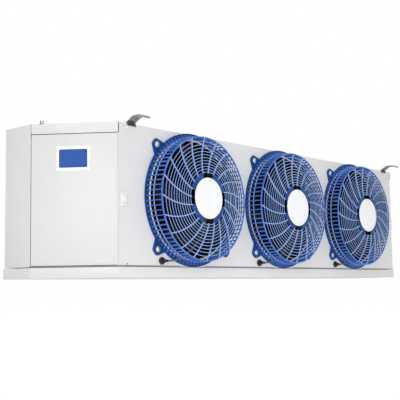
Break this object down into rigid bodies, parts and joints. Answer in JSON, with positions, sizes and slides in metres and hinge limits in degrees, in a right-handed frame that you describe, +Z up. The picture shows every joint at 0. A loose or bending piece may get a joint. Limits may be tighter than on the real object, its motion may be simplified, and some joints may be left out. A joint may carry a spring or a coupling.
{
  "type": "walk-in unit cooler",
  "caption": "Long ceiling-hung evaporator cabinet with guarded axial fans along its front, doors on its chamfered corners, a finned coil behind and a drop-down drain pan.",
  "frame": {"origin": "centre of the four hanger slots, on the top face of the straps", "axes": "+X along the cabinet, -Y the side the fans blow towards, +Z up"},
  "size_m": [2.778, 0.686, 0.688],
  "materials": {
    "white_coat": "satin",
    "galvanised_sheet": "satin",
    "strap_steel": "satin",
    "blue_moulding": "satin",
    "white_moulding": "satin",
    "motor_black": "satin",
    "black_moulding": "satin",
    "cable_rubber": "matte",
    "zinc_screw": "satin",
    "fin_aluminium": "satin",
    "copper_tube": "satin",
    "drain_brass": "satin"
  },
  "bodies": {
    "cabinet": {"cable_plug_1": "black_moulding", "cable_plug_2": "black_moulding", "cable_plug_3": "black_moulding", "coil_fin_pack": "fin_aluminium", "door_catch_left": "white_moulding", "door_catch_right": "white_moulding", "door_pivots_left": "galvanised_sheet", "door_pivots_right": "galvanised_sheet", "electrical_box": "galvanised_sheet", "electrical_box_lid": "galvanised_sheet", "end_panel_left": "white_coat", "end_panel_right": "white_coat", "fan_baffle_1": "galvanised_sheet", "fan_baffle_2": "galvanised_sheet", "fan_guard_1": "blue_moulding", "fan_guard_2": "blue_moulding", "fan_guard_3": "blue_moulding", "fan_motor_1": "motor_black", "fan_motor_2": "motor_black", "fan_motor_3": "motor_black", "fan_panel": "white_coat", "guard_screws": "zinc_screw", "hanger_front_left": "strap_steel", "hanger_front_right": "strap_steel", "hanger_rear_left": "strap_steel", "hanger_rear_right": "strap_steel", "hub_disk_1": "white_moulding", "hub_disk_2": "white_moulding", "hub_disk_3": "white_moulding", "liquid_line": "copper_tube", "motor_cable_1": "cable_rubber", "motor_cable_2": "cable_rubber", "motor_cable_3": "cable_rubber", "pan_hinges": "galvanised_sheet", "rear_cover_left": "white_coat", "rear_cover_right": "white_coat", "rear_rail": "galvanised_sheet", "return_bends_left": "copper_tube", "return_bends_right": "copper_tube", "roof_panel": "white_coat", "suction_header": "copper_tube", "tube_plate_left": "galvanised_sheet", "tube_plate_right": "galvanised_sheet"},
    "door_left": {"access_door_left": "white_coat"},
    "door_right": {"access_door_right": "white_coat"},
    "pan": {"drain_pan": "white_coat", "drain_fitting": "drain_brass"},
    "fan_1": {"fan_blades_1": "black_moulding"},
    "fan_2": {"fan_blades_2": "black_moulding"},
    "fan_3": {"fan_blades_3": "black_moulding"}
  },
  "joints": [
    {"name": "fan_1_spin", "type": "hinge", "parent": "cabinet", "child": "fan_1", "pos_m": [-0.7, -0.2425, -0.332], "axis": [0, -1, 0], "continuous": true},
    {"name": "fan_2_spin", "type": "hinge", "parent": "cabinet", "child": "fan_2", "pos_m": [0, -0.2425, -0.332], "axis": [0, -1, 0], "continuous": true},
    {"name": "fan_3_spin", "type": "hinge", "parent": "cabinet", "child": "fan_3", "pos_m": [0.7, -0.2425, -0.332], "axis": [0, -1, 0], "continuous": true},
    {"name": "door_left_swing", "type": "hinge", "parent": "cabinet", "child": "door_left", "pos_m": [-1.37542, 0.05962, -0.358], "axis": [0, 0, -1], "range_deg": [0, 95]},
    {"name": "door_right_swing", "type": "hinge", "parent": "cabinet", "child": "door_right", "pos_m": [1.37542, 0.05962, -0.358], "axis": [0, 0, 1], "range_deg": [0, 95]},
    {"name": "pan_drop", "type": "hinge", "parent": "cabinet", "child": "pan", "pos_m": [0, 0.2545, -0.6425], "axis": [1, 0, 0], "range_deg": [0, 75]}
  ]
}
